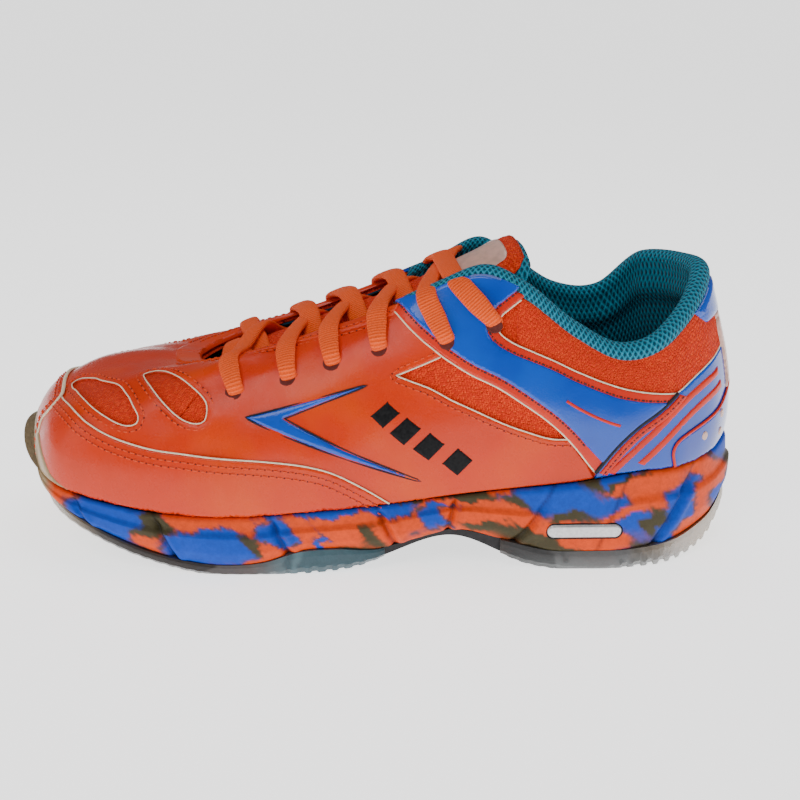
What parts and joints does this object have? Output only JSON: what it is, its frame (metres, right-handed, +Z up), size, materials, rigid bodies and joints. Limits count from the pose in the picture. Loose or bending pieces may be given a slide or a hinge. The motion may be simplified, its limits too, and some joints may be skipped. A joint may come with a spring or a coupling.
{
  "type": "court shoe",
  "caption": "Low indoor court shoe with swirled foam midsole, translucent rubber outsole, coated upper over mesh, padded collar, laced throat and hinged tongue.",
  "frame": {"origin": "centre of the shoe's plan box, on the ground", "axes": "+Z up, +X towards the heel, -X towards the toe, -Y the lateral (outer) side of this left shoe"},
  "size_m": [0.288, 0.1038, 0.1195],
  "materials": {
    "orange_coated": "smooth coated synthetic, semi-gloss",
    "blue_patent": "glossy patent synthetic",
    "coral_mesh": "knitted mesh",
    "teal_mesh": "air mesh lining",
    "padding_foam": "soft foam, hidden",
    "stiffener": "thermoplastic sheet, hidden",
    "board": "fibre board",
    "insole_foam": "fabric-topped foam",
    "camo_foam": "moulded foam in swirled colours",
    "smoky_rubber": "translucent smoky rubber",
    "dark_shank": "woven-look moulded plate",
    "silver_badge": "satin silver",
    "black_print": "raised print",
    "orange_lace": "flat woven lace",
    "clear_aglet": "clear film tip",
    "label_film": "translucent film"
  },
  "bodies": {
    "shoe": {"aglets": "clear_aglet", "ankle_band_lateral": "blue_patent", "ankle_band_medial": "blue_patent", "ankle_lining": "teal_mesh", "arch_shank": "dark_shank", "backstay": "label_film", "chevron_lateral": "blue_patent", "chevron_medial": "blue_patent", "collar_foam": "padding_foam", "collar_panel": "coral_mesh", "eyestay_lateral": "orange_coated", "eyestay_medial": "orange_coated", "heel_corner": "blue_patent", "heel_counter": "stiffener", "heel_lining": "teal_mesh", "heel_mesh": "coral_mesh", "heel_overlay": "blue_patent", "heel_tab": "blue_patent", "lace": "orange_lace", "lasting_board": "board", "midsole": "camo_foam", "midsole_badge": "silver_badge", "mudguard_lateral": "orange_coated", "mudguard_medial": "orange_coated", "outsole_forefoot": "smoky_rubber", "outsole_heel": "smoky_rubber", "quarter_lining_lateral": "teal_mesh", "quarter_lining_medial": "teal_mesh", "quarter_mesh_lateral": "coral_mesh", "quarter_mesh_medial": "coral_mesh", "side_mark_lateral": "black_print", "side_mark_medial": "black_print", "side_overlay_lateral": "orange_coated", "side_overlay_medial": "orange_coated", "toe_puff": "stiffener", "toe_tip": "orange_coated", "vamp_lining": "teal_mesh", "vamp_mesh": "coral_mesh", "vamp_overlay": "orange_coated"},
    "tongue": {"tongue_face": "coral_mesh", "tongue_foam": "padding_foam", "tongue_label": "label_film", "tongue_lining": "teal_mesh"},
    "insole": {"sockliner": "insole_foam"}
  },
  "joints": [
    {"name": "tongue_hinge", "type": "hinge", "parent": "shoe", "child": "tongue", "pos_m": [-0.056, 0, 0.066], "axis": [0, 1, 0], "range_deg": [0, 12], "stiffness_Nm_per_rad": 0.6, "springref_deg": -6.88},
    {"name": "insole_lift", "type": "hinge", "parent": "shoe", "child": "insole", "pos_m": [-0.124, 0, 0.029], "axis": [0, -1, 0], "range_deg": [0, 4]}
  ]
}
